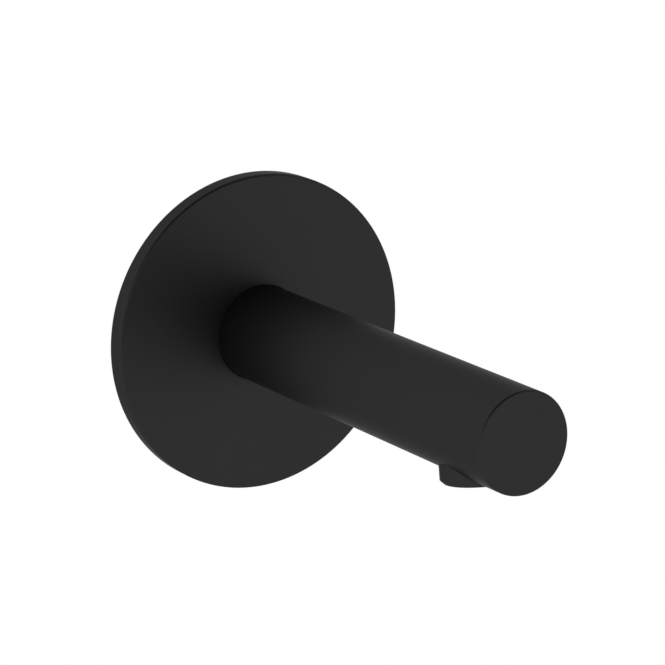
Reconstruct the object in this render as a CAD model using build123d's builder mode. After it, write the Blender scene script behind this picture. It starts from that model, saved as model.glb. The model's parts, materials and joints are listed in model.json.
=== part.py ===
from build123d import *
import math
import os

# Wall-mounted bath spout, in millimetres.
# The origin is the centre of the wall plane on the spout's axis. The spout points along -Y,
# the wall is on the +Y side and +Z is up. "Reach" is the distance out from the wall.

# Wall flange: a turned dish with a collar that slides on the tube
flange_diameter = 120.0
flange_depth = 6.6
flange_face_wall = 1.8
flange_rim_wall = 2.0
flange_edge_radius = 1.0
flange_back_chamfer = 0.3
flange_collar_wall = 4.4
flange_collar_recess = 0.4
flange_slip = 0.1

# O-ring in the collar, which grips the tube
flange_ring_section = 1.9
flange_ring_reach = 2.9

# Foam gasket behind the flange
gasket_width = 8.0
gasket_slip = 0.2

# Spout tube
tube_diameter = 36.2
tube_wall = 2.5
tube_recess = 0.6
spout_reach = 174.8

# End cap brazed on the tube's front end
cap_thickness = 3.0
cap_edge_radius = 0.75
cap_spigot_length = 5.0
cap_spigot_wall = 2.4

# Outlet nozzle, a turned bush brazed through the tube's lower wall and leaning outwards.
# Its setback is how far its axis crosses the spout's axis behind the end face.
nozzle_diameter = 27.4
nozzle_setback = 27.4
nozzle_tilt = 8.2
nozzle_end = 19.5
nozzle_chamfer = 1.25
nozzle_bore_chamfer = 0.2
nozzle_socket_depth = 9.5
nozzle_web = 2.8
nozzle_waterway = 20.0

# Aerator, screwed into the nozzle with an M24 thread
aerator_thread = 24.0
aerator_thread_clearance = 0.05
aerator_seal_thickness = 1.5
aerator_seal_bore = 19.0
aerator_seal_clearance = 0.2
housing_wall = 1.45
housing_lip = 0.6
housing_lip_chamfer = 0.3
honeycomb_depth = 2.8
honeycomb_pitch = 2.6
honeycomb_web = 0.5
key_slot_count = 4
key_slot_width = 3.2
key_slot_depth = 1.1
insert_clearance = 0.1

# Domed strainer on top of the aerator
strainer_brim = 0.8
strainer_wall = 0.6
strainer_dome_diameter = 17.0
strainer_top_diameter = 9.0
strainer_height = 3.4
strainer_slot_width = 0.9
strainer_top_slots = 6
strainer_top_slot_start = 1.3
strainer_top_slot_end = 3.8
strainer_side_slots = 12
strainer_side_slot_start = 4.7
strainer_side_slot_end = 7.9

# Disperser plate, which splits the water into jets
disperser_plate = 1.2
disperser_skirt = 1.2
disperser_skirt_wall = 1.0
disperser_slot_width = 1.0
disperser_inner_slots = 8
disperser_inner_slot_start = 2.6
disperser_inner_slot_end = 4.8
disperser_outer_slots = 18
disperser_outer_slot_start = 6.0
disperser_outer_slot_end = 8.4

# Screens below the disperser, and the ring between them
screen_thickness = 0.4
screen_pitch = 2.8
screen_wire = 0.6
screen_rim = 0.9
spacer_height = 0.6
spacer_wall = 1.2

# Socket bush brazed in the tube's rear end. Its stop lies just past the nipple's nose.
socket_recess = 5.0
socket_end_gap = 0.5
socket_stop = 4.0
socket_stop_bore = 15.0
socket_lead_chamfer = 1.0
socket_slip = 0.1

# Nipple that screws into the pipe behind the wall, and carries the spout
pipe_thread = 20.955
pipe_thread_length = 14.0
pipe_thread_chamfer = 1.0
pipe_thread_relief = 18.0
nipple_shoulder = 27.0
nipple_shoulder_length = 2.5
nipple_barrel = 21.8
nipple_barrel_length = 29.5
nipple_nose_chamfer = 0.8
nipple_bore = 11.4
nipple_hex = 12.0
nipple_hex_depth = 10.0
nipple_ring_section = 1.8
nipple_ring_groove = 2.4
nipple_ring_setback = 5.5
nipple_ring_spacing = 6.0

# O-ring sections are eight-sided outlines inside the true circle
o_ring_sides = 8
seal_clearance = 0.05

# Gap that the brazed joints are filled through
braze_gap = 0.05

# Flat sealing ring between the nipple's shoulder and the pipe fitting
wall_ring_thickness = 1.5
wall_ring_bore = 21.2

# Set screw that locks the spout on the nipple from below, and ends just inside the tube's surface
screw_diameter = 6.0
screw_recess = 0.95
screw_reach = 14.0
screw_hex = 3.0
screw_hex_depth = 3.0
screw_point = 0.6
screw_thread_clearance = 0.05
screw_tip_clearance = 0.15
screw_access_hole = 6.6
lock_groove_depth = 1.2

# Radii that neighbouring pieces share
tube_radius = tube_diameter / 2
tube_inner_radius = tube_radius - tube_wall
collar_radius = tube_radius + flange_slip
socket_radius = tube_inner_radius - braze_gap
barrel_radius = nipple_barrel / 2
socket_bore_radius = barrel_radius + socket_slip
nozzle_radius = nozzle_diameter / 2
thread_radius = aerator_thread / 2
housing_radius = thread_radius - aerator_thread_clearance
pocket_radius = housing_radius - housing_wall
insert_radius = pocket_radius - insert_clearance

# Places along the spout's axis, measured from the wall
cap_joint = spout_reach - cap_thickness
nozzle_reach = spout_reach - nozzle_setback
shoulder_end = wall_ring_thickness + nipple_shoulder_length
barrel_end = shoulder_end + nipple_barrel_length
front_ring_reach = barrel_end - nipple_ring_setback
rear_ring_reach = front_ring_reach - nipple_ring_spacing
socket_stop_reach = barrel_end + socket_end_gap
socket_front = socket_stop_reach + socket_stop

# Places along the nozzle's axis, measured from the spout's axis
seal_seat = nozzle_end - nozzle_socket_depth
nozzle_top = seal_seat - nozzle_web
housing_top = seal_seat + aerator_seal_thickness
disperser_top = housing_top + strainer_brim
upper_screen_top = disperser_top + disperser_plate + disperser_skirt
spacer_top = upper_screen_top + screen_thickness
lower_screen_top = spacer_top + spacer_height
honeycomb_top = lower_screen_top + screen_thickness
housing_end = honeycomb_top + honeycomb_depth

# Half section through the spout's axis: local x is the reach, local y the radius
spout_section = Plane(origin=(0, 0, 0), x_dir=(0, -1, 0), z_dir=(-1, 0, 0))

# Nozzle: a plane across its axis, with its normal pointing down and outwards, and a half
# section where local x is the radius and local y the distance down the axis
lean = math.radians(nozzle_tilt)
nozzle_centre = (0, -nozzle_reach, 0)
nozzle_down = (0, -math.sin(lean), -math.cos(lean))
nozzle_plane = Plane(origin=nozzle_centre, x_dir=(1, 0, 0), z_dir=nozzle_down)
nozzle_section = Plane(origin=nozzle_centre, x_dir=(1, 0, 0), z_dir=(0, math.cos(lean), -math.sin(lean)))
nozzle_axis = Axis(nozzle_centre, nozzle_down)

# Set screw: local z points down from the spout's axis
screw_plane = Plane(origin=(0, -screw_reach, 0), x_dir=(1, 0, 0), z_dir=(0, 0, -1))


def radial_slots(start, end, width, count):
    # Slots from one radius to another, spread evenly round the sketch's centre
    with PolarLocations((start + end) / 2, count):
        Rectangle(end - start, width)


# Wall flange
flange_radius = flange_diameter / 2
flange_back = flange_depth - flange_face_wall
collar_outer_radius = collar_radius + flange_collar_wall
flange_groove_radius = tube_radius + flange_ring_section
with BuildPart() as wall_flange:
    with BuildSketch(spout_section) as flange_outline:
        Polygon(
            (0, flange_radius),
            (flange_depth, flange_radius),
            (flange_depth, collar_radius),
            (flange_collar_recess, collar_radius),
            (flange_collar_recess, collar_outer_radius),
            (flange_back, collar_outer_radius),
            (flange_back, flange_radius - flange_rim_wall),
            (0, flange_radius - flange_rim_wall),
        )
        front_corner = flange_outline.vertices().sort_by_distance((flange_depth, flange_radius))[0]
        fillet(front_corner, radius=flange_edge_radius)
        back_corner = flange_outline.vertices().sort_by_distance((0, flange_radius))[0]
        chamfer(back_corner, length=flange_back_chamfer)
        with Locations((flange_ring_reach, collar_radius)):
            Rectangle(
                flange_ring_section + 2 * seal_clearance,
                2 * (flange_groove_radius - collar_radius),
                mode=Mode.SUBTRACT,
            )
    revolve(axis=Axis.Y)

# O-ring between the collar and the tube
with BuildPart() as flange_o_ring:
    with BuildSketch(spout_section):
        with Locations((flange_ring_reach, (tube_radius + flange_groove_radius) / 2)):
            RegularPolygon(flange_ring_section / 2 - seal_clearance, o_ring_sides)
    revolve(axis=Axis.Y)

# Foam gasket inside the rim, flush with the wall plane
gasket_outer_radius = flange_radius - flange_rim_wall - gasket_slip
with BuildPart() as flange_gasket:
    with BuildSketch(Plane.XZ):
        Circle(gasket_outer_radius)
        Circle(gasket_outer_radius - gasket_width, mode=Mode.SUBTRACT)
    extrude(amount=flange_back)

# Spout tube, with the hole that takes the nozzle and the access hole of the set screw
with BuildPart() as spout_tube:
    with BuildSketch(Plane.XZ.offset(tube_recess)):
        Circle(tube_radius)
        Circle(tube_inner_radius, mode=Mode.SUBTRACT)
    extrude(amount=cap_joint - tube_recess)
    with BuildSketch(nozzle_plane.offset(nozzle_top)):
        Circle(nozzle_radius + braze_gap)
    extrude(amount=nozzle_diameter, mode=Mode.SUBTRACT)
    with BuildSketch(screw_plane):
        Circle(screw_access_hole / 2)
    extrude(amount=tube_diameter, mode=Mode.SUBTRACT)

# End cap
spigot_radius = tube_inner_radius - braze_gap
with BuildPart() as end_cap:
    with BuildSketch(spout_section) as cap_outline:
        Polygon(
            (spout_reach, 0),
            (spout_reach, tube_radius),
            (cap_joint, tube_radius),
            (cap_joint, spigot_radius),
            (cap_joint - cap_spigot_length, spigot_radius),
            (cap_joint - cap_spigot_length, spigot_radius - cap_spigot_wall),
            (cap_joint, spigot_radius - cap_spigot_wall),
            (cap_joint, 0),
        )
        end_corner = cap_outline.vertices().sort_by_distance((spout_reach, tube_radius))[0]
        fillet(end_corner, radius=cap_edge_radius)
    revolve(axis=Axis.Y)

# Outlet nozzle
with BuildPart() as outlet_nozzle:
    with BuildSketch(nozzle_section) as nozzle_outline:
        Polygon(
            (nozzle_waterway / 2, nozzle_top),
            (nozzle_radius, nozzle_top),
            (nozzle_radius, nozzle_end),
            (thread_radius, nozzle_end),
            (thread_radius, seal_seat),
            (nozzle_waterway / 2, seal_seat),
        )
        rim_corner = nozzle_outline.vertices().sort_by_distance((nozzle_radius, nozzle_end))[0]
        chamfer(rim_corner, length=nozzle_chamfer)
        bore_corner = nozzle_outline.vertices().sort_by_distance((thread_radius, nozzle_end))[0]
        chamfer(bore_corner, length=nozzle_bore_chamfer)
    revolve(axis=nozzle_axis)

# Flat seal between the nozzle's seat and the aerator
with BuildPart() as aerator_seal:
    with BuildSketch(nozzle_plane.offset(seal_seat)):
        Circle(thread_radius - aerator_seal_clearance)
        Circle(aerator_seal_bore / 2, mode=Mode.SUBTRACT)
    extrude(amount=aerator_seal_thickness)

# Strainer: a thin dome on a flat brim, pierced along the nozzle's axis
dome_radius = strainer_dome_diameter / 2
dome_top_radius = strainer_top_diameter / 2
dome_top = housing_top - strainer_height + strainer_brim
with BuildPart() as aerator_strainer:
    with BuildSketch(nozzle_section):
        Polygon(
            (0, dome_top),
            (dome_top_radius, dome_top),
            (dome_radius, housing_top),
            (insert_radius, housing_top),
            (insert_radius, disperser_top),
            (dome_radius - strainer_wall, disperser_top),
            (dome_top_radius - strainer_wall, dome_top + strainer_wall),
            (0, dome_top + strainer_wall),
        )
    revolve(axis=nozzle_axis)
    with BuildSketch(nozzle_plane.offset(dome_top)):
        radial_slots(
            strainer_top_slot_start, strainer_top_slot_end, strainer_slot_width, strainer_top_slots
        )
        radial_slots(
            strainer_side_slot_start, strainer_side_slot_end, strainer_slot_width, strainer_side_slots
        )
    extrude(amount=strainer_height, mode=Mode.SUBTRACT)

# Disperser: a pierced plate with a short skirt
with BuildPart() as aerator_disperser:
    with BuildSketch(nozzle_plane.offset(disperser_top)):
        Circle(insert_radius)
    extrude(amount=disperser_plate + disperser_skirt)
    with BuildSketch(nozzle_plane.offset(disperser_top + disperser_plate)):
        Circle(insert_radius - disperser_skirt_wall)
    extrude(amount=disperser_skirt, mode=Mode.SUBTRACT)
    with BuildSketch(nozzle_plane.offset(disperser_top)):
        radial_slots(
            disperser_inner_slot_start, disperser_inner_slot_end, disperser_slot_width, disperser_inner_slots
        )
        radial_slots(
            disperser_outer_slot_start, disperser_outer_slot_end, disperser_slot_width, disperser_outer_slots
        )
    extrude(amount=disperser_plate, mode=Mode.SUBTRACT)

# Screens: square gaps between wires, inside a plain rim
gap = screen_pitch - screen_wire
screen_field = insert_radius - screen_rim
screen_rows = 2 * math.ceil(screen_field / screen_pitch) + 1
screens = {}
for screen_name, screen_top in (
    ("aerator_screen_upper", upper_screen_top),
    ("aerator_screen_lower", lower_screen_top),
):
    with BuildPart() as screen:
        with BuildSketch(nozzle_plane.offset(screen_top)):
            Circle(insert_radius)
            with GridLocations(screen_pitch, screen_pitch, screen_rows, screen_rows) as grid:
                gap_places = [
                    place for place in grid.local_locations
                    if place.position.length + gap / math.sqrt(2) < screen_field
                ]
            with Locations(*gap_places):
                Rectangle(gap, gap, mode=Mode.SUBTRACT)
        extrude(amount=screen_thickness)
    screens[screen_name] = screen

# Ring that keeps the screens apart
with BuildPart() as aerator_spacer:
    with BuildSketch(nozzle_plane.offset(spacer_top)):
        Circle(insert_radius)
        Circle(insert_radius - spacer_wall, mode=Mode.SUBTRACT)
    extrude(amount=spacer_height)

# Aerator housing: a threaded sleeve moulded in one with its honeycomb outlet
honeycomb_radius = pocket_radius - housing_lip
cell_side = (honeycomb_pitch - honeycomb_web) / math.sqrt(3)
cell_reach = math.ceil(2 * honeycomb_radius / honeycomb_pitch)
cell_range = range(-cell_reach, cell_reach + 1)
cell_grid = [
    (honeycomb_pitch * (column + row / 2), honeycomb_pitch * row * math.sqrt(3) / 2)
    for row in cell_range
    for column in cell_range
]
cell_places = [place for place in cell_grid if math.hypot(*place) + cell_side < honeycomb_radius]
with BuildPart() as aerator_housing:
    with BuildSketch(nozzle_section) as housing_outline:
        Polygon(
            (0, honeycomb_top),
            (pocket_radius, honeycomb_top),
            (pocket_radius, housing_top),
            (housing_radius, housing_top),
            (housing_radius, housing_end),
            (0, housing_end),
        )
        lip_corner = housing_outline.vertices().sort_by_distance((housing_radius, housing_end))[0]
        chamfer(lip_corner, length=housing_lip_chamfer)
    revolve(axis=nozzle_axis)
    with BuildSketch(nozzle_plane.offset(honeycomb_top)):
        with Locations(*cell_places):
            RegularPolygon(cell_side, 6, rotation=30)
    extrude(amount=honeycomb_depth, mode=Mode.SUBTRACT)
    with BuildSketch(nozzle_plane.offset(housing_end - key_slot_depth)):
        with PolarLocations(housing_radius, key_slot_count):
            Rectangle(2 * (housing_radius - pocket_radius), key_slot_width)
    extrude(amount=key_slot_depth, mode=Mode.SUBTRACT)

# Socket bush in the tube's rear end, with the tapped hole of the set screw
with BuildPart() as inlet_socket:
    with BuildSketch(spout_section) as socket_outline:
        Polygon(
            (socket_recess, socket_bore_radius),
            (socket_recess, socket_radius),
            (socket_front, socket_radius),
            (socket_front, socket_stop_bore / 2),
            (socket_stop_reach, socket_stop_bore / 2),
            (socket_stop_reach, socket_bore_radius),
        )
        lead_corner = socket_outline.vertices().sort_by_distance((socket_recess, socket_bore_radius))[0]
        chamfer(lead_corner, length=socket_lead_chamfer)
    revolve(axis=Axis.Y)
    with BuildSketch(screw_plane):
        Circle(screw_diameter / 2)
    extrude(amount=tube_diameter, mode=Mode.SUBTRACT)

# Wall nipple: pipe thread, relief, shoulder, and a barrel with seal grooves and a lock groove
ring_floor_radius = socket_bore_radius - nipple_ring_section
with BuildPart() as wall_nipple:
    with BuildSketch(spout_section) as nipple_outline:
        Polygon(
            (-pipe_thread_length, nipple_bore / 2),
            (-pipe_thread_length, pipe_thread / 2),
            (0, pipe_thread / 2),
            (0, pipe_thread_relief / 2),
            (wall_ring_thickness, pipe_thread_relief / 2),
            (wall_ring_thickness, nipple_shoulder / 2),
            (shoulder_end, nipple_shoulder / 2),
            (shoulder_end, barrel_radius),
            (barrel_end, barrel_radius),
            (barrel_end, nipple_bore / 2),
        )
        tail_corner = nipple_outline.vertices().sort_by_distance((-pipe_thread_length, pipe_thread / 2))[0]
        chamfer(tail_corner, length=pipe_thread_chamfer)
        nose_corner = nipple_outline.vertices().sort_by_distance((barrel_end, barrel_radius))[0]
        chamfer(nose_corner, length=nipple_nose_chamfer)
        with Locations((rear_ring_reach, barrel_radius), (front_ring_reach, barrel_radius)):
            Rectangle(nipple_ring_groove, 2 * (barrel_radius - ring_floor_radius), mode=Mode.SUBTRACT)
        Polygon(
            (screw_reach - lock_groove_depth, barrel_radius),
            (screw_reach, barrel_radius - lock_groove_depth),
            (screw_reach + lock_groove_depth, barrel_radius),
            mode=Mode.SUBTRACT,
        )
    revolve(axis=Axis.Y)
    with BuildSketch(Plane.XZ.offset(barrel_end)):
        RegularPolygon(nipple_hex / 2, 6, major_radius=False)
    extrude(amount=-nipple_hex_depth, mode=Mode.SUBTRACT)

# O-rings on the nipple's barrel
nipple_rings = {}
for ring_name, ring_reach in (
    ("nipple_o_ring_rear", rear_ring_reach),
    ("nipple_o_ring_front", front_ring_reach),
):
    with BuildPart() as nipple_ring:
        with BuildSketch(spout_section):
            with Locations((ring_reach, (ring_floor_radius + socket_bore_radius) / 2)):
                RegularPolygon(nipple_ring_section / 2 - seal_clearance, o_ring_sides)
        revolve(axis=Axis.Y)
    nipple_rings[ring_name] = nipple_ring

# Flat sealing ring behind the nipple's shoulder
with BuildPart() as wall_seal_ring:
    with BuildSketch(Plane.XZ):
        Circle(nipple_shoulder / 2)
        Circle(wall_ring_bore / 2, mode=Mode.SUBTRACT)
    extrude(amount=wall_ring_thickness)

# Set screw, with a cone point in the lock groove and a hexagon socket at its lower end
screw_radius = screw_diameter / 2 - screw_thread_clearance
tip_depth = barrel_radius - lock_groove_depth + screw_point / 2 + screw_tip_clearance
cone_end = tip_depth + screw_radius - screw_point / 2
screw_end = tube_radius - screw_recess
with BuildPart() as set_screw:
    with BuildSketch(Plane(origin=screw_plane.origin, x_dir=(1, 0, 0), z_dir=(0, 1, 0))):
        Polygon(
            (0, tip_depth),
            (screw_point / 2, tip_depth),
            (screw_radius, cone_end),
            (screw_radius, screw_end),
            (0, screw_end),
        )
    revolve(axis=Axis(screw_plane.origin, screw_plane.z_dir))
    with BuildSketch(screw_plane.offset(screw_end)):
        RegularPolygon(screw_hex / 2, 6, major_radius=False)
    extrude(amount=-screw_hex_depth, mode=Mode.SUBTRACT)

# One file for each piece
pieces = {
    "wall_flange": wall_flange,
    "flange_o_ring": flange_o_ring,
    "flange_gasket": flange_gasket,
    "spout_tube": spout_tube,
    "end_cap": end_cap,
    "outlet_nozzle": outlet_nozzle,
    "aerator_seal": aerator_seal,
    "aerator_strainer": aerator_strainer,
    "aerator_disperser": aerator_disperser,
    **screens,
    "aerator_spacer": aerator_spacer,
    "aerator_housing": aerator_housing,
    "inlet_socket": inlet_socket,
    "wall_nipple": wall_nipple,
    **nipple_rings,
    "wall_seal_ring": wall_seal_ring,
    "set_screw": set_screw,
}
os.makedirs("parts", exist_ok=True)
for name, piece in pieces.items():
    piece.part.label = name
    export_step(piece.part, f"parts/{name}.step")
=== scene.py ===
import json
import math

import bmesh
import bpy
from mathutils import Matrix, Vector


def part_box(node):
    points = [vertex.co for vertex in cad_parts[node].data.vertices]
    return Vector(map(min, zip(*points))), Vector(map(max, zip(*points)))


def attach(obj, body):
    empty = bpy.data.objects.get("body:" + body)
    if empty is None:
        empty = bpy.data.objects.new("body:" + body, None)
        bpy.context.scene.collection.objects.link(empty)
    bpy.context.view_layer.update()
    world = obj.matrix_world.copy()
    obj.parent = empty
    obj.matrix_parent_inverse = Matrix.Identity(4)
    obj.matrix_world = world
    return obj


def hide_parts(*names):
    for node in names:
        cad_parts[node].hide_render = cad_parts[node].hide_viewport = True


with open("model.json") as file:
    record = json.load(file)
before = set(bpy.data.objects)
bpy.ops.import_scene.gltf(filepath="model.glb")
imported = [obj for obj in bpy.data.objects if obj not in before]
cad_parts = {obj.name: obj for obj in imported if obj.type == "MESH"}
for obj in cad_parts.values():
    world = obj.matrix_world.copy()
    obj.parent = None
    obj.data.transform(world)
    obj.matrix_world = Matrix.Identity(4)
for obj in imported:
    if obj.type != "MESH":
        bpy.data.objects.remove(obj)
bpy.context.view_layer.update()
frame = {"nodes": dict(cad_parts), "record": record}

# Wall-mounted bath spout. Metres. The origin is the centre of the wall plane on the spout's
# axis, the spout points along -Y and +Z is up. A size written in millimetres is times MM.
# "Reach" is the distance out from the wall. Bores, threads and hexagons are given by their
# radius, a hexagon's being that of the circle inside it.
MM = 0.001

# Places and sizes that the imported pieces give
flange_low, flange_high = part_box("wall_flange")
tube_low, tube_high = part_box("spout_tube")
cap_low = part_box("end_cap")[0]
nipple_low, nipple_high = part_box("wall_nipple")
screw_low, screw_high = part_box("set_screw")
FLANGE_RADIUS = flange_high.x
FLANGE_DEPTH = -flange_low.y
TUBE_RADIUS = tube_high.x
TUBE_START = -tube_high.y
CAP_JOINT = -tube_low.y
SPOUT_REACH = -cap_low.y
NIPPLE_TAIL = -nipple_high.y
NIPPLE_NOSE = -nipple_low.y
SHOULDER_RADIUS = nipple_high.x
SCREW_RADIUS = screw_high.x
SCREW_REACH = -(screw_low.y + screw_high.y) / 2
SCREW_TIP = -screw_high.z
SCREW_END = -screw_low.z

# Wall flange, with the groove of its O-ring
FLANGE_FACE_WALL = 1.8 * MM
FLANGE_RIM_WALL = 2.0 * MM
FLANGE_EDGE = 1.0 * MM
COLLAR_BORE = 18.2 * MM
COLLAR_WALL = 4.4 * MM
COLLAR_RECESS = 0.4 * MM
COLLAR_GROOVE_START = 1.9 * MM
COLLAR_GROOVE_END = 3.9 * MM
COLLAR_GROOVE_RADIUS = 20.0 * MM

# Gasket and flat seals
GASKET_WIDTH = 8.0 * MM
GASKET_EDGE = 0.4 * MM
SEAL_EDGE = 0.2 * MM
WALL_RING_BORE = 10.6 * MM
AERATOR_SEAL_BORE = 9.5 * MM
AERATOR_SEAL_RADIUS = 11.8 * MM
AERATOR_SEAL_THICKNESS = 1.5 * MM

# Tube and end cap
TUBE_WALL = 2.5 * MM
CAP_EDGE = 0.75 * MM
CAP_SPIGOT = 5.0 * MM
CAP_SPIGOT_WALL = 2.4 * MM
BRAZE_GAP = 0.05 * MM

# Outlet nozzle, which leans outwards; its places are measured along its own axis
NOZZLE_RADIUS = 13.7 * MM
NOZZLE_REACH = 147.4 * MM
NOZZLE_TILT = math.radians(8.2)
NOZZLE_TOP = 7.2 * MM
NOZZLE_SEAT = 10.0 * MM
NOZZLE_END = 19.5 * MM
NOZZLE_CHAMFER = 1.25 * MM
NOZZLE_WATERWAY = 10.0 * MM
AERATOR_THREAD = 12.0 * MM

# Nipple: half-inch pipe thread, shoulder, barrel with a lock groove and two ring grooves
PIPE_THREAD = 10.4775 * MM
PIPE_PITCH = 1.8143 * MM
PIPE_THREAD_DEPTH = 1.162 * MM
PIPE_LEAD_IN = 1.0 * MM
RELIEF_RADIUS = 9.0 * MM
SHOULDER_START = 1.5 * MM
SHOULDER_END = 4.0 * MM
BARREL_RADIUS = 10.9 * MM
LOCK_GROOVE_DEPTH = 1.2 * MM
RING_GROOVE_FLOOR = 9.2 * MM
RING_GROOVE_HALF = 1.2 * MM
NOSE_CHAMFER = 0.8 * MM
NIPPLE_BORE = 5.7 * MM
NIPPLE_HEX = 6.0 * MM
NIPPLE_HEX_DEPTH = 10.0 * MM

# Set screw: M6 thread, cone point, hexagon socket with a drilled bottom
SCREW_PITCH = 1.0 * MM
SCREW_THREAD_DEPTH = 0.6 * MM
SCREW_POINT = 0.3 * MM
SCREW_LEAD_IN = 0.6 * MM
SCREW_HEX = 1.5 * MM
SCREW_HEX_DEPTH = 3.0 * MM
SCREW_ACCESS = 3.3 * MM

# Woven screens of the aerator
SCREEN_PITCH = 0.9 * MM
SCREEN_WIRE = 0.1 * MM
SCREEN_RIM = 0.9 * MM
SCREEN_EDGE = 0.1 * MM
SCREEN_OVERLAP = 0.3 * MM
STEPS_PER_WEAVE = 4
FEWEST_STEPS = 2
WIRE_SIDES = 6

# Softened edges: the arc's radius, how far beside it a ring keeps the flats flat, and the angle
# from which an edge is shown sharp
BROKEN_EDGE = 0.12 * MM
EDGE_GUARD = 0.12 * MM
SHARP_ANGLE = math.radians(32)

# Segments round a turned piece, round the screw, round an O-ring's section and in a small arc,
# rows in a turn of a thread, and the radius below which a turned shape has a pole
TURNED_SEGMENTS = 240
SCREW_SEGMENTS = 96
RING_SECTION_SEGMENTS = 32
ARC_STEPS = 6
ROWS_PER_PITCH = 14
POLE_RADIUS = 1e-7

# Finishes: what a noise texture's value lies between and about, the scale of stains on metal,
# and the numbers of a mix node's colour sockets
NOISE_LOW = 0.3
NOISE_MIDDLE = 0.5
NOISE_HIGH = 0.7
STAIN_SCALE = 250.0
MIX_COLOR_A = 6
MIX_COLOR_B = 7
MIX_COLOR_RESULT = 2
WHITE = (1, 1, 1, 1)
BLACK = (0, 0, 0, 1)

# Camera, as calibrated from the outlines in the photograph
CAMERA_PLACE = Vector((-0.58108, -0.98330, 0.30109))
CAMERA_AZIMUTH = math.radians(-32.085)
CAMERA_ELEVATION = math.radians(14.841)
CAMERA_LENS = 170.88
CAMERA_SENSOR = 36.0
CAMERA_CLIP_START = 0.05
CAMERA_CLIP_END = 40.0

# Floor of the studio, and the dark card that the object's front edges mirror
FLOOR_HALF_SIZE = 9.0
FLOOR_HEIGHT = -0.32
CARD_AZIMUTH = math.radians(-5.0)
CARD_ELEVATION = math.radians(50.0)
CARD_DISTANCE = 1.6
CARD_HALF_ANGLE = math.radians(43.0)
CARD_SEGMENTS = 64


# Axes of the turned pieces

def axis_frame(origin, along):
    """Matrix whose local z lies along a turned piece's axis, and whose local x is the row's x."""
    across = Vector((1, 0, 0))
    along = Vector(along)
    turn = Matrix((across, along.cross(across), along)).transposed().to_4x4()
    return Matrix.Translation(origin) @ turn


SPOUT_AXIS = axis_frame((0, 0, 0), (0, -1, 0))
NOZZLE_AXIS = axis_frame((0, -NOZZLE_REACH, 0), (0, -math.sin(NOZZLE_TILT), -math.cos(NOZZLE_TILT)))
SCREW_AXIS = axis_frame((0, -SCREW_REACH, 0), (0, 0, -1))


# Shapes

def softened(corners):
    """Outline of (along, radius) points from corners whose third value is their arc's radius."""
    points = []
    for index, (along, radius, soft) in enumerate(corners):
        here = Vector((along, radius))
        if soft == 0:
            points.append(here)
            continue
        back = (Vector(corners[index - 1][:2]) - here).normalized()
        ahead = (Vector(corners[(index + 1) % len(corners)][:2]) - here).normalized()
        half = back.angle(ahead) / 2
        reach = soft / math.tan(half)
        centre = here + (back + ahead).normalized() * soft / math.sin(half)
        start = here + back * reach - centre
        end = here + ahead * reach - centre
        points.append(here + back * (reach + EDGE_GUARD))
        for step in range(ARC_STEPS + 1):
            points.append(centre + start.slerp(end, step / ARC_STEPS) * soft)
        points.append(here + ahead * (reach + EDGE_GUARD))
    return points


def hexagon(inner_radius):
    """Reach of a hexagon's wall at an angle."""
    sector = math.tau / 6
    return lambda angle: inner_radius / math.cos(angle % sector - sector / 2)


def thread_rows(start, end, crest, depth, pitch, outside):
    """Rows of a rounded helical thread, whose reach changes with the angle.

    outside gives the greatest reach at a place along the axis, so that the ends are chamfered.
    """
    count = math.ceil((end - start) / pitch * ROWS_PER_PITCH)
    rows = []
    for row in range(count + 1):
        along = start + (end - start) * row / count

        def reach(angle, along=along):
            wave = 0.5 - 0.5 * math.cos(math.tau * along / pitch - angle)
            return min(crest - depth * wave, outside(along))

        rows.append((along, reach))
    return rows


def turned_shape(outline, axis, segments=TURNED_SEGMENTS):
    """Closed surface round an axis. A reach is a radius, or a function of the angle."""
    shape = bmesh.new()
    rings = []
    for along, reach in outline:
        if not callable(reach) and reach < POLE_RADIUS:
            rings.append([shape.verts.new(axis @ Vector((0, 0, along)))])
            continue
        ring = []
        for step in range(segments):
            angle = math.tau * step / segments
            radius = reach(angle) if callable(reach) else reach
            place = Vector((radius * math.cos(angle), radius * math.sin(angle), along))
            ring.append(shape.verts.new(axis @ place))
        rings.append(ring)
    for first, second in zip(rings, rings[1:] + rings[:1]):
        if len(first) == 1 and len(second) == 1:
            continue
        for step in range(segments):
            following = (step + 1) % segments
            if len(first) == 1:
                shape.faces.new((first[0], second[step], second[following]))
            elif len(second) == 1:
                shape.faces.new((first[step], second[0], first[following]))
            else:
                shape.faces.new((first[step], second[step], second[following], first[following]))
    return shape


def add_wire(shape, axis, points, sideways, radius):
    """Thin round wire along points, with flat ends."""
    rings = []
    for index, point in enumerate(points):
        along = (points[min(index + 1, len(points) - 1)] - points[max(index - 1, 0)]).normalized()
        upward = along.cross(sideways)
        ring = []
        for side in range(WIRE_SIDES):
            angle = math.tau * side / WIRE_SIDES
            offset = sideways * math.cos(angle) + upward * math.sin(angle)
            ring.append(shape.verts.new(axis @ (point + offset * radius)))
        rings.append(ring)
    for first, second in zip(rings, rings[1:]):
        for side in range(WIRE_SIDES):
            following = (side + 1) % WIRE_SIDES
            shape.faces.new((first[side], second[side], second[following], first[following]))
    shape.faces.new(rings[0])
    shape.faces.new(rings[-1])


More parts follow.
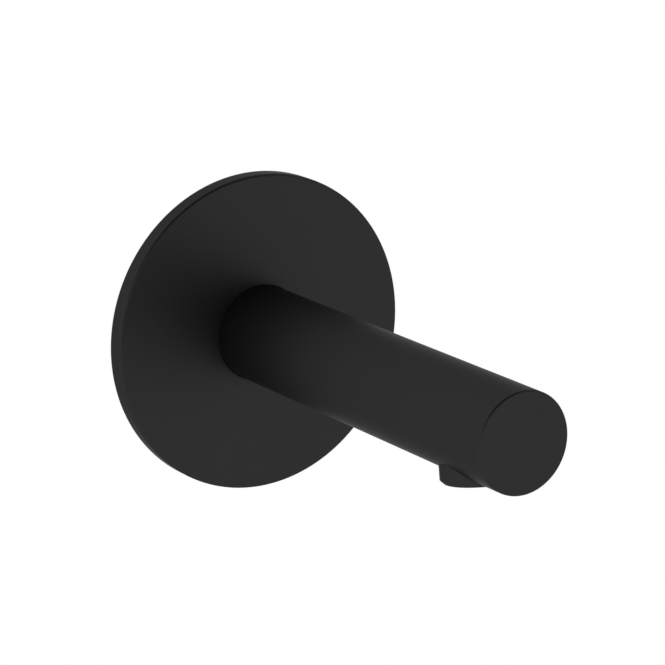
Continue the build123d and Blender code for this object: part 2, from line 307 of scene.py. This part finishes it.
def woven_shape(axis, top, thickness, radius):
    """Plain weave of wires, held in a flat rim."""
    bore = radius - SCREEN_RIM
    rim = [
        (top, radius, SCREEN_EDGE),
        (top + thickness, radius, SCREEN_EDGE),
        (top + thickness, bore, SCREEN_EDGE),
        (top, bore, SCREEN_EDGE),
    ]
    shape = turned_shape(softened(rim), axis)
    middle = top + thickness / 2
    reach = bore + SCREEN_OVERLAP
    count = int(reach / SCREEN_PITCH)
    for number in range(-count, count + 1):
        place = number * SCREEN_PITCH
        half = math.sqrt(reach * reach - place * place)
        steps = max(FEWEST_STEPS, round(2 * half / SCREEN_PITCH * STEPS_PER_WEAVE))
        for direction in (0, 1):
            points = []
            for step in range(steps + 1):
                run = half * (2 * step / steps - 1)
                swing = math.cos(math.pi * (run / SCREEN_PITCH + number + direction))
                height = middle + SCREEN_WIRE * swing
                points.append(Vector((place, run, height) if direction else (run, place, height)))
            sideways = Vector((1, 0, 0) if direction else (0, 1, 0))
            add_wire(shape, axis, points, sideways, SCREEN_WIRE)
    return shape


def new_piece(name, shape, material):
    """Object in the scene from a finished bmesh, smooth but for its sharp edges."""
    bmesh.ops.recalc_face_normals(shape, faces=shape.faces)
    mesh = bpy.data.meshes.new(name)
    shape.to_mesh(mesh)
    shape.free()
    mesh.shade_smooth()
    mesh.set_sharp_from_angle(angle=SHARP_ANGLE)
    mesh.materials.append(material)
    piece = bpy.data.objects.new(name, mesh)
    bpy.context.collection.objects.link(piece)
    return piece


def cut_round_hole(piece, axis, start, end, radius):
    """Takes a round bar out of a piece."""
    shape = turned_shape([(start, 0), (start, radius), (end, radius), (end, 0)], axis)
    bar = new_piece("bar", shape, piece.data.materials[0])
    cut = piece.modifiers.new("cut", "BOOLEAN")
    cut.operation = "DIFFERENCE"
    cut.solver = "EXACT"
    cut.object = bar
    with bpy.context.temp_override(object=piece, active_object=piece, selected_objects=[piece]):
        bpy.ops.object.modifier_apply(modifier=cut.name)
    bpy.data.meshes.remove(bar.data)
    piece.data.set_sharp_from_angle(angle=SHARP_ANGLE)


# Shader node groups that several finishes share

def add_node(tree, kind, inputs, **settings):
    """Node whose inputs take a value, or another node's output."""
    node = tree.nodes.new(kind)
    for name, value in settings.items():
        setattr(node, name, value)
    for name, value in inputs.items():
        if isinstance(value, bpy.types.NodeSocket):
            tree.links.new(value, node.inputs[name])
        else:
            node.inputs[name].default_value = value
    return node


def new_group(name, inputs, outputs):
    """Node group with named sockets. Each finish sets all the inputs of a group that it uses."""
    group = bpy.data.node_groups.new(name, "ShaderNodeTree")
    for label, kind in inputs.items():
        group.interface.new_socket(label, in_out="INPUT", socket_type=kind)
    for label, kind in outputs.items():
        group.interface.new_socket(label, in_out="OUTPUT", socket_type=kind)
    entry = group.nodes.new("NodeGroupInput").outputs
    leaving = group.nodes.new("NodeGroupOutput").inputs
    return group, entry, leaving


def surface_place(tree):
    """Place on the object, in metres."""
    return tree.nodes.new("ShaderNodeTexCoord").outputs["Object"]


def noise(tree, place, scale, **inputs):
    """Value of a noise texture at a place."""
    inputs = {"Vector": place, "Scale": scale, **inputs}
    return add_node(tree, "ShaderNodeTexNoise", inputs).outputs["Fac"]


def blend(tree, first, second, share):
    """Blend of two values, with the second one's share."""
    inputs = {"Factor": share, "A": first, "B": second}
    return add_node(tree, "ShaderNodeMix", inputs).outputs["Result"]


def uneven_tone_group():
    """A colour that drifts a little lighter and darker over the surface, coarse and fine."""
    group, entry, leaving = new_group(
        "uneven_tone",
        {
            "Color": "NodeSocketColor",
            "Drift": "NodeSocketFloat",
            "Coarse": "NodeSocketFloat",
            "Fine": "NodeSocketFloat",
        },
        {"Color": "NodeSocketColor", "Mask": "NodeSocketFloat"},
    )
    place = surface_place(group)
    coarse = noise(group, place, entry["Coarse"], Detail=2.0)
    fine = noise(group, place, entry["Fine"], Detail=2.0)
    both = blend(group, coarse, fine, share=0.5)
    centred = add_node(group, "ShaderNodeMath", {0: both, 1: NOISE_MIDDLE}, operation="SUBTRACT")
    around_one = {0: centred.outputs[0], 1: entry["Drift"], 2: 1.0}
    drift = add_node(group, "ShaderNodeMath", around_one, operation="MULTIPLY_ADD")
    scaled = {0: entry["Color"], "Scale": drift.outputs[0]}
    color = add_node(group, "ShaderNodeVectorMath", scaled, operation="SCALE")
    group.links.new(color.outputs["Vector"], leaving["Color"])
    group.links.new(both, leaving["Mask"])
    return group


def fine_skin_group():
    """Skin of a sprayed or moulded surface: a long low ripple and a fine grain on it."""
    group, entry, leaving = new_group(
        "fine_skin",
        {
            "Ripple": "NodeSocketFloat",
            "Grain": "NodeSocketFloat",
            "Grain Share": "NodeSocketFloat",
        },
        {"Height": "NodeSocketFloat", "Mask": "NodeSocketFloat"},
    )
    place = surface_place(group)
    ripple = noise(group, place, entry["Ripple"], Detail=1.0)
    grain = noise(group, place, entry["Grain"], Detail=2.0)
    height = blend(group, ripple, grain, share=entry["Grain Share"])
    group.links.new(height, leaving["Height"])
    group.links.new(grain, leaving["Mask"])
    return group


def turning_marks_group():
    """Fine rings that a lathe tool leaves, on the faces and round the barrel alike."""
    group, entry, leaving = new_group(
        "turning_marks",
        {"Marks": "NodeSocketFloat", "Wander": "NodeSocketFloat"},
        {"Height": "NodeSocketFloat", "Mask": "NodeSocketFloat"},
    )
    place = surface_place(group)
    parts = add_node(group, "ShaderNodeSeparateXYZ", {0: place}).outputs
    across = add_node(group, "ShaderNodeCombineXYZ", {"X": parts["X"], "Z": parts["Z"]})
    radius = add_node(group, "ShaderNodeVectorMath", {0: across.outputs[0]}, operation="LENGTH")
    out_and_along = {0: radius.outputs["Value"], 1: parts["Y"]}
    travel = add_node(group, "ShaderNodeMath", out_and_along, operation="SUBTRACT")
    track = add_node(group, "ShaderNodeCombineXYZ", {"X": travel.outputs[0]})
    marks = noise(group, track.outputs[0], entry["Marks"], Detail=3.0, Roughness=0.7)
    stain = noise(group, place, STAIN_SCALE, Detail=3.0)
    mask = blend(group, marks, stain, share=entry["Wander"])
    group.links.new(marks, leaving["Height"])
    group.links.new(mask, leaving["Mask"])
    return group


UNEVEN_TONE = uneven_tone_group()
FINE_SKIN = fine_skin_group()
TURNING_MARKS = turning_marks_group()


# Finishes

def new_finish(name):
    """A material, with its node tree and its shader's inputs."""
    material = bpy.data.materials.new(name)
    material.use_nodes = True
    tree = material.node_tree
    return material, tree, tree.nodes["Principled BSDF"].inputs


def texture(tree, group, **values):
    """Outputs of a shared node group that is given its own values."""
    node = add_node(tree, "ShaderNodeGroup", {}, node_tree=group)
    for label, value in values.items():
        node.inputs[label.replace("_", " ")].default_value = value
    return node.outputs


def tone(tree, shader, color, drift, coarse, fine):
    """Base colour with a slight drift. Returns the drift's mask."""
    drifting = texture(tree, UNEVEN_TONE, Color=(*color, 1), Drift=drift, Coarse=coarse, Fine=fine)
    tree.links.new(drifting["Color"], shader["Base Color"])
    return drifting["Mask"]


def roughness(tree, shader, mask, smooth, rough):
    """Roughness between two values, by a mask."""
    inputs = {
        "Value": mask,
        "From Min": NOISE_LOW,
        "From Max": NOISE_HIGH,
        "To Min": smooth,
        "To Max": rough,
    }
    spread = add_node(tree, "ShaderNodeMapRange", inputs)
    tree.links.new(spread.outputs["Result"], shader["Roughness"])


def relief(tree, shader, height, depth):
    """Small relief of the surface, with the depth in metres."""
    bump = add_node(tree, "ShaderNodeBump", {"Height": height, "Strength": 1.0, "Distance": depth})
    tree.links.new(bump.outputs["Normal"], shader["Normal"])


def satin_black_coat():
    """Satin black coat, fired on brass: dark, soft in its gloss and hardly brighter edge-on."""
    material, tree, shader = new_finish("satin_black_coat")
    tone(tree, shader, color=(0.0322, 0.0322, 0.0322), drift=0.1, coarse=40.0, fine=1800.0)
    skin = texture(tree, FINE_SKIN, Ripple=700.0, Grain=5000.0, Grain_Share=0.25)
    roughness(tree, shader, skin["Mask"], smooth=0.41, rough=0.44)
    relief(tree, shader, skin["Height"], depth=0.002 * MM)
    shader["Metallic"].default_value = 0.89
    shader["Specular IOR Level"].default_value = 0.0
    shader["Specular Tint"].default_value = (0.5, 0.5, 0.5, 1)
    return material


def turned_brass():
    """Bare turned brass, a little dulled."""
    material, tree, shader = new_finish("turned_brass")
    tone(tree, shader, color=(0.72, 0.50, 0.22), drift=0.16, coarse=90.0, fine=900.0)
    marks = texture(tree, TURNING_MARKS, Marks=2600.0, Wander=0.4)
    roughness(tree, shader, marks["Mask"], smooth=0.24, rough=0.42)
    relief(tree, shader, marks["Height"], depth=0.012 * MM)
    shader["Metallic"].default_value = 1.0
    return material


def nitrile_rubber():
    """Black seal rubber with a faint bloom."""
    material, tree, shader = new_finish("nitrile_rubber")
    tone(tree, shader, color=(0.022, 0.022, 0.023), drift=0.5, coarse=350.0, fine=2500.0)
    skin = texture(tree, FINE_SKIN, Ripple=900.0, Grain=6000.0, Grain_Share=0.5)
    roughness(tree, shader, skin["Mask"], smooth=0.46, rough=0.62)
    relief(tree, shader, skin["Height"], depth=0.01 * MM)
    shader["Specular IOR Level"].default_value = 0.4
    return material


def closed_cell_foam():
    """Dark grey gasket foam, with the cut cells open at its surface."""
    material, tree, shader = new_finish("closed_cell_foam")
    grid = {"Vector": surface_place(tree), "Scale": 1600.0}
    cells = add_node(tree, "ShaderNodeTexVoronoi", grid).outputs
    colors = {
        "Factor": cells["Distance"],
        MIX_COLOR_A: (0.022, 0.022, 0.024, 1),
        MIX_COLOR_B: (0.055, 0.055, 0.06, 1),
    }
    color = add_node(tree, "ShaderNodeMix", colors, data_type="RGBA")
    tree.links.new(color.outputs[MIX_COLOR_RESULT], shader["Base Color"])
    relief(tree, shader, cells["Distance"], depth=0.08 * MM)
    shader["Roughness"].default_value = 0.9
    shader["Specular IOR Level"].default_value = 0.3
    return material


def vulcanised_fibre():
    """Red-brown fibre sheet, with short fibres pressed flat."""
    material, tree, shader = new_finish("vulcanised_fibre")
    mask = tone(tree, shader, color=(0.26, 0.045, 0.022), drift=0.45, coarse=500.0, fine=3000.0)
    skin = texture(tree, FINE_SKIN, Ripple=1200.0, Grain=7000.0, Grain_Share=0.5)
    roughness(tree, shader, mask, smooth=0.55, rough=0.75)
    relief(tree, shader, skin["Height"], depth=0.02 * MM)
    return material


def moulded_plastic(name, color, drift):
    """Moulded plastic with a fine spark-eroded grain."""
    material, tree, shader = new_finish(name)
    tone(tree, shader, color, drift, coarse=200.0, fine=2500.0)
    skin = texture(tree, FINE_SKIN, Ripple=1500.0, Grain=8000.0, Grain_Share=0.6)
    roughness(tree, shader, skin["Mask"], smooth=0.38, rough=0.5)
    relief(tree, shader, skin["Height"], depth=0.006 * MM)
    shader["Specular IOR Level"].default_value = 0.45
    return material


def drawn_steel():
    """Stainless steel, drawn or turned, with fine marks."""
    material, tree, shader = new_finish("drawn_steel")
    tone(tree, shader, color=(0.56, 0.56, 0.55), drift=0.14, coarse=300.0, fine=4000.0)
    skin = texture(tree, FINE_SKIN, Ripple=2500.0, Grain=9000.0, Grain_Share=0.5)
    roughness(tree, shader, skin["Mask"], smooth=0.25, rough=0.38)
    relief(tree, shader, skin["Height"], depth=0.004 * MM)
    shader["Metallic"].default_value = 1.0
    return material


FINISHES = {
    "black_coat": satin_black_coat(),
    "bare_brass": turned_brass(),
    "seal_rubber": nitrile_rubber(),
    "gasket_foam": closed_cell_foam(),
    "fibre": vulcanised_fibre(),
    "aerator_black": moulded_plastic(
        "black_moulded_plastic", color=(0.018, 0.018, 0.019), drift=0.3
    ),
    "aerator_white": moulded_plastic("white_moulded_plastic", color=(0.72, 0.72, 0.69), drift=0.05),
    "screen_steel": drawn_steel(),
}
SLOT_OF = {row["node"]: row["material_slot"] for row in frame["record"]["subparts"]}


# Pieces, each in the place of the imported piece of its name

def fit_piece(node, form, shape):
    """Puts a modelled piece in the place of a packed one, in that one's finish."""
    piece = new_piece(f"{node}_{form}", shape, FINISHES[SLOT_OF[node]])
    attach(piece, "root")
    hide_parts(node)
    return piece


def make_wall_flange():
    back = FLANGE_DEPTH - FLANGE_FACE_WALL
    collar = COLLAR_BORE + COLLAR_WALL
    corners = [
        (0, FLANGE_RADIUS, BROKEN_EDGE),
        (FLANGE_DEPTH, FLANGE_RADIUS, FLANGE_EDGE),
        (FLANGE_DEPTH, COLLAR_BORE, BROKEN_EDGE),
        (COLLAR_GROOVE_END, COLLAR_BORE, 0),
        (COLLAR_GROOVE_END, COLLAR_GROOVE_RADIUS, BROKEN_EDGE),
        (COLLAR_GROOVE_START, COLLAR_GROOVE_RADIUS, BROKEN_EDGE),
        (COLLAR_GROOVE_START, COLLAR_BORE, 0),
        (COLLAR_RECESS, COLLAR_BORE, BROKEN_EDGE),
        (COLLAR_RECESS, collar, BROKEN_EDGE),
        (back, collar, BROKEN_EDGE),
        (back, FLANGE_RADIUS - FLANGE_RIM_WALL, BROKEN_EDGE),
        (0, FLANGE_RADIUS - FLANGE_RIM_WALL, BROKEN_EDGE),
    ]
    fit_piece("wall_flange", "turned", turned_shape(softened(corners), SPOUT_AXIS))


def make_spout_tube():
    corners = [
        (TUBE_START, TUBE_RADIUS, BROKEN_EDGE),
        (CAP_JOINT, TUBE_RADIUS, 0),
        (CAP_JOINT, TUBE_RADIUS - TUBE_WALL, 0),
        (TUBE_START, TUBE_RADIUS - TUBE_WALL, BROKEN_EDGE),
    ]
    tube = fit_piece("spout_tube", "drawn", turned_shape(softened(corners), SPOUT_AXIS))
    nozzle_hole = NOZZLE_RADIUS + BRAZE_GAP
    cut_round_hole(tube, NOZZLE_AXIS, NOZZLE_TOP, NOZZLE_END + NOZZLE_RADIUS, nozzle_hole)
    cut_round_hole(tube, SCREW_AXIS, TUBE_RADIUS - 2 * TUBE_WALL, 2 * TUBE_RADIUS, SCREW_ACCESS)


def make_end_cap():
    spigot = TUBE_RADIUS - TUBE_WALL - BRAZE_GAP
    corners = [
        (SPOUT_REACH, 0, 0),
        (SPOUT_REACH, TUBE_RADIUS, CAP_EDGE),
        (CAP_JOINT, TUBE_RADIUS, 0),
        (CAP_JOINT, spigot, 0),
        (CAP_JOINT - CAP_SPIGOT, spigot, BROKEN_EDGE),
        (CAP_JOINT - CAP_SPIGOT, spigot - CAP_SPIGOT_WALL, BROKEN_EDGE),
        (CAP_JOINT, spigot - CAP_SPIGOT_WALL, 0),
        (CAP_JOINT, 0, 0),
    ]
    fit_piece("end_cap", "turned", turned_shape(softened(corners), SPOUT_AXIS))


def make_outlet_nozzle():
    corners = [
        (NOZZLE_SEAT, AERATOR_THREAD, 0),
        (NOZZLE_SEAT, NOZZLE_WATERWAY, BROKEN_EDGE),
        (NOZZLE_TOP, NOZZLE_WATERWAY, BROKEN_EDGE),
        (NOZZLE_TOP, NOZZLE_RADIUS, BROKEN_EDGE),
        (NOZZLE_END - NOZZLE_CHAMFER, NOZZLE_RADIUS, BROKEN_EDGE),
        (NOZZLE_END, NOZZLE_RADIUS - NOZZLE_CHAMFER, BROKEN_EDGE),
        (NOZZLE_END, AERATOR_THREAD, BROKEN_EDGE),
    ]
    fit_piece("outlet_nozzle", "turned", turned_shape(softened(corners), NOZZLE_AXIS))


def make_wall_nipple():
    def tail_chamfer(along):
        return PIPE_THREAD - PIPE_LEAD_IN + (along - NIPPLE_TAIL)

    outline = [(NIPPLE_TAIL, NIPPLE_BORE)]
    outline += thread_rows(NIPPLE_TAIL, 0, PIPE_THREAD, PIPE_THREAD_DEPTH, PIPE_PITCH, tail_chamfer)
    barrel = [
        (0, RELIEF_RADIUS, 0),
        (SHOULDER_START, RELIEF_RADIUS, 0),
        (SHOULDER_START, SHOULDER_RADIUS, BROKEN_EDGE),
        (SHOULDER_END, SHOULDER_RADIUS, BROKEN_EDGE),
        (SHOULDER_END, BARREL_RADIUS, BROKEN_EDGE),
        (SCREW_REACH - LOCK_GROOVE_DEPTH, BARREL_RADIUS, BROKEN_EDGE),
        (SCREW_REACH, BARREL_RADIUS - LOCK_GROOVE_DEPTH, BROKEN_EDGE),
        (SCREW_REACH + LOCK_GROOVE_DEPTH, BARREL_RADIUS, BROKEN_EDGE),
    ]
    for ring in ("nipple_o_ring_rear", "nipple_o_ring_front"):
        low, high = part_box(ring)
        groove = -(low.y + high.y) / 2
        barrel += [
            (groove - RING_GROOVE_HALF, BARREL_RADIUS, BROKEN_EDGE),
            (groove - RING_GROOVE_HALF, RING_GROOVE_FLOOR, BROKEN_EDGE),
            (groove + RING_GROOVE_HALF, RING_GROOVE_FLOOR, BROKEN_EDGE),
            (groove + RING_GROOVE_HALF, BARREL_RADIUS, BROKEN_EDGE),
        ]
    barrel += [
        (NIPPLE_NOSE - NOSE_CHAMFER, BARREL_RADIUS, BROKEN_EDGE),
        (NIPPLE_NOSE, BARREL_RADIUS - NOSE_CHAMFER, 0),
    ]
    outline += softened(barrel)
    outline += [
        (NIPPLE_NOSE, hexagon(NIPPLE_HEX)),
        (NIPPLE_NOSE - NIPPLE_HEX_DEPTH, hexagon(NIPPLE_HEX)),
        (NIPPLE_NOSE - NIPPLE_HEX_DEPTH, NIPPLE_BORE),
    ]
    fit_piece("wall_nipple", "threaded", turned_shape(outline, SPOUT_AXIS))


def make_set_screw():
    cone_end = SCREW_TIP + SCREW_RADIUS - SCREW_POINT

    def end_chamfers(along):
        point = SCREW_POINT + along - SCREW_TIP
        lead_in = SCREW_RADIUS - SCREW_LEAD_IN + SCREW_END - along
        return min(point, lead_in)

    outline = [(SCREW_TIP, 0)]
    outline += thread_rows(
        SCREW_TIP, SCREW_END, SCREW_RADIUS, SCREW_THREAD_DEPTH, SCREW_PITCH, end_chamfers
    )
    outline += [
        (SCREW_END, hexagon(SCREW_HEX)),
        (SCREW_END - SCREW_HEX_DEPTH, hexagon(SCREW_HEX)),
        (max(cone_end, SCREW_END - SCREW_HEX_DEPTH - SCREW_LEAD_IN), 0),
    ]
    fit_piece("set_screw", "threaded", turned_shape(outline, SCREW_AXIS, segments=SCREW_SEGMENTS))


def make_o_ring(node):
    """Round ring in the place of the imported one, whose section is eight-sided."""
    low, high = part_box(node)
    section = (high.y - low.y) / 2
    reach = -(low.y + high.y) / 2
    radius = high.x - section
    outline = []
    for step in range(RING_SECTION_SEGMENTS):
        angle = math.tau * step / RING_SECTION_SEGMENTS
        outline.append((reach + section * math.cos(angle), radius + section * math.sin(angle)))
    fit_piece(node, "round", turned_shape(outline, SPOUT_AXIS))


def flat_ring(axis, start, end, bore, outer, edge):
    """Shape of a flat ring with softened edges."""
    corners = [(start, outer, edge), (end, outer, edge), (end, bore, edge), (start, bore, edge)]
    return turned_shape(softened(corners), axis)


def make_flat_rings():
    low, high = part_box("flange_gasket")
    bore = high.x - GASKET_WIDTH
    gasket = flat_ring(SPOUT_AXIS, -high.y, -low.y, bore, high.x, GASKET_EDGE)
    fit_piece("flange_gasket", "foam", gasket)
    low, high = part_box("wall_seal_ring")
    wall_ring = flat_ring(SPOUT_AXIS, -high.y, -low.y, WALL_RING_BORE, high.x, SEAL_EDGE)
    fit_piece("wall_seal_ring", "fibre", wall_ring)
    seal_end = NOZZLE_SEAT + AERATOR_SEAL_THICKNESS
    seal = flat_ring(
        NOZZLE_AXIS, NOZZLE_SEAT, seal_end, AERATOR_SEAL_BORE, AERATOR_SEAL_RADIUS, SEAL_EDGE
    )
    fit_piece("aerator_seal", "rubber", seal)


def make_screens():
    """Woven screens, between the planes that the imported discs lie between."""
    down = NOZZLE_AXIS.inverted()
    for node in ("aerator_screen_upper", "aerator_screen_lower"):
        heights = [(down @ corner.co).z for corner in frame["nodes"][node].data.vertices]
        top, bottom = min(heights), max(heights)
        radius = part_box(node)[1].x
        fit_piece(node, "woven", woven_shape(NOZZLE_AXIS, top, bottom - top, radius))


make_wall_flange()
make_spout_tube()
make_end_cap()
make_outlet_nozzle()
make_wall_nipple()
make_set_screw()
for ring in ("flange_o_ring", "nipple_o_ring_rear", "nipple_o_ring_front"):
    make_o_ring(ring)
make_flat_rings()
make_screens()

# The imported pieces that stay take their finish
for node in (
    "inlet_socket",
    "aerator_housing",
    "aerator_strainer",
    "aerator_disperser",
    "aerator_spacer",
):
    frame["nodes"][node].material_slots[0].material = FINISHES[SLOT_OF[node]]


# Studio: white light all round, a floor that a camera below sees through, and a dark card

def toward(azimuth, elevation):
    """Direction from the object, with azimuth 0 in front of it and growing to its right."""
    level = math.cos(elevation)
    return Vector((math.sin(azimuth) * level, -math.cos(azimuth) * level, math.sin(elevation)))


def white_world():
    world = bpy.data.worlds.new("studio")
    world.use_nodes = True
    background = world.node_tree.nodes["Background"].inputs
    background["Color"].default_value = WHITE
    background["Strength"].default_value = 1.0
    bpy.context.scene.world = world


def matt_paint(name, color):
    """A material of one colour with no gloss, and its node tree."""
    material, tree, shader = new_finish(name)
    shader["Base Color"].default_value = color
    shader["Roughness"].default_value = 1.0
    shader["Specular IOR Level"].default_value = 0.0
    return material, tree


def white_floor():
    """White floor that takes the object's shadow, and is clear from below."""
    material, tree = matt_paint("floor_white", WHITE)
    clear = add_node(tree, "ShaderNodeBsdfTransparent", {}).outputs["BSDF"]
    underside = add_node(tree, "ShaderNodeNewGeometry", {}).outputs["Backfacing"]
    painted = tree.nodes["Principled BSDF"].outputs["BSDF"]
    either = add_node(tree, "ShaderNodeMixShader", {0: underside, 1: painted, 2: clear})
    tree.links.new(either.outputs[0], tree.nodes["Material Output"].inputs["Surface"])
    shape = bmesh.new()
    place = Matrix.Translation((0, 0, FLOOR_HEIGHT))
    bmesh.ops.create_grid(shape, x_segments=1, y_segments=1, size=FLOOR_HALF_SIZE, matrix=place)
    new_piece("floor", shape, material)


def dark_card():
    """Round black card in front of and above the object, which only its gloss sees."""
    material, _ = matt_paint("card_black", BLACK)
    direction = toward(CARD_AZIMUTH, CARD_ELEVATION)
    turn = direction.to_track_quat("Z", "Y").to_matrix().to_4x4()
    place = Matrix.Translation(direction * CARD_DISTANCE) @ turn
    radius = CARD_DISTANCE * math.tan(CARD_HALF_ANGLE)
    shape = bmesh.new()
    bmesh.ops.create_circle(
        shape, cap_ends=True, segments=CARD_SEGMENTS, radius=radius, matrix=place
    )
    card = new_piece("dark_card", shape, material)
    card.visible_camera = False
    card.visible_diffuse = False
    card.visible_shadow = False
    card.visible_transmission = False


def photo_camera():
    camera = bpy.data.objects.new("camera", bpy.data.cameras.new("camera"))
    bpy.context.collection.objects.link(camera)
    camera.data.lens = CAMERA_LENS
    camera.data.sensor_width = CAMERA_SENSOR
    camera.data.clip_start = CAMERA_CLIP_START
    camera.data.clip_end = CAMERA_CLIP_END
    camera.location = CAMERA_PLACE
    camera.rotation_mode = "QUATERNION"
    camera.rotation_quaternion = toward(CAMERA_AZIMUTH, CAMERA_ELEVATION).to_track_quat("Z", "Y")
    bpy.context.scene.camera = camera


white_world()
white_floor()
dark_card()
photo_camera()
bpy.context.scene.view_settings.view_transform = "Standard"
